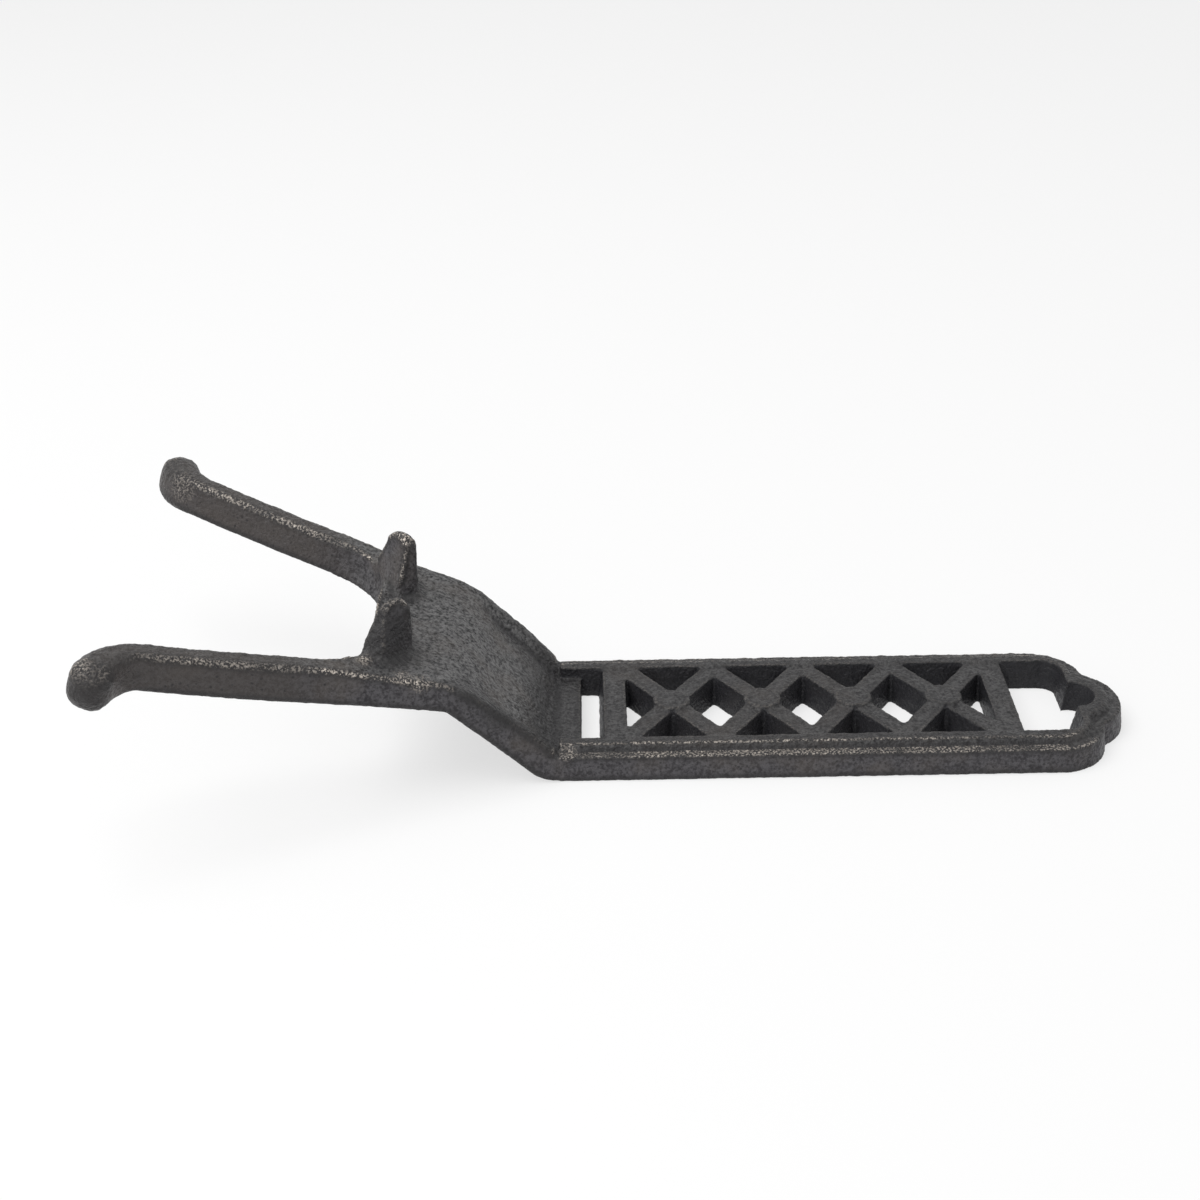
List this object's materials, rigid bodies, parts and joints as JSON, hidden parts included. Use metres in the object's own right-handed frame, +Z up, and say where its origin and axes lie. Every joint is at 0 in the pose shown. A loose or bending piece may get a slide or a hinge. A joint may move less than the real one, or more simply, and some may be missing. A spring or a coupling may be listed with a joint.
{
  "type": "boot jack",
  "caption": "Cast-iron boot jack with a flat openwork tread, a rising neck and a forked yoke with upright lugs and splayed rounded tips.",
  "frame": {"origin": "centre of the bounding box's footprint, on the floor plane under the tread", "axes": "+X along the tread towards the tail, with the fork towards -X; +Y to the far side; +Z up"},
  "size_m": [0.254, 0.118, 0.0547],
  "materials": {
    "cast_iron": "sand-cast iron with a dark satin coat, worn to a lighter grey on its raised edges"
  },
  "bodies": {
    "root": {"near_rail": "cast_iron", "far_rail": "cast_iron", "foot_web": "cast_iron", "slot_bar": "cast_iron", "trellis_cross_1": "cast_iron", "trellis_cross_2": "cast_iron", "trellis_cross_3": "cast_iron", "trellis_cross_4": "cast_iron", "tail_bar": "cast_iron", "near_shoulder": "cast_iron", "far_shoulder": "cast_iron", "tail_lobe": "cast_iron", "neck": "cast_iron", "yoke": "cast_iron", "near_lug": "cast_iron", "far_lug": "cast_iron", "near_prong": "cast_iron", "far_prong": "cast_iron", "near_tip": "cast_iron", "far_tip": "cast_iron"}
  },
  "joints": []
}
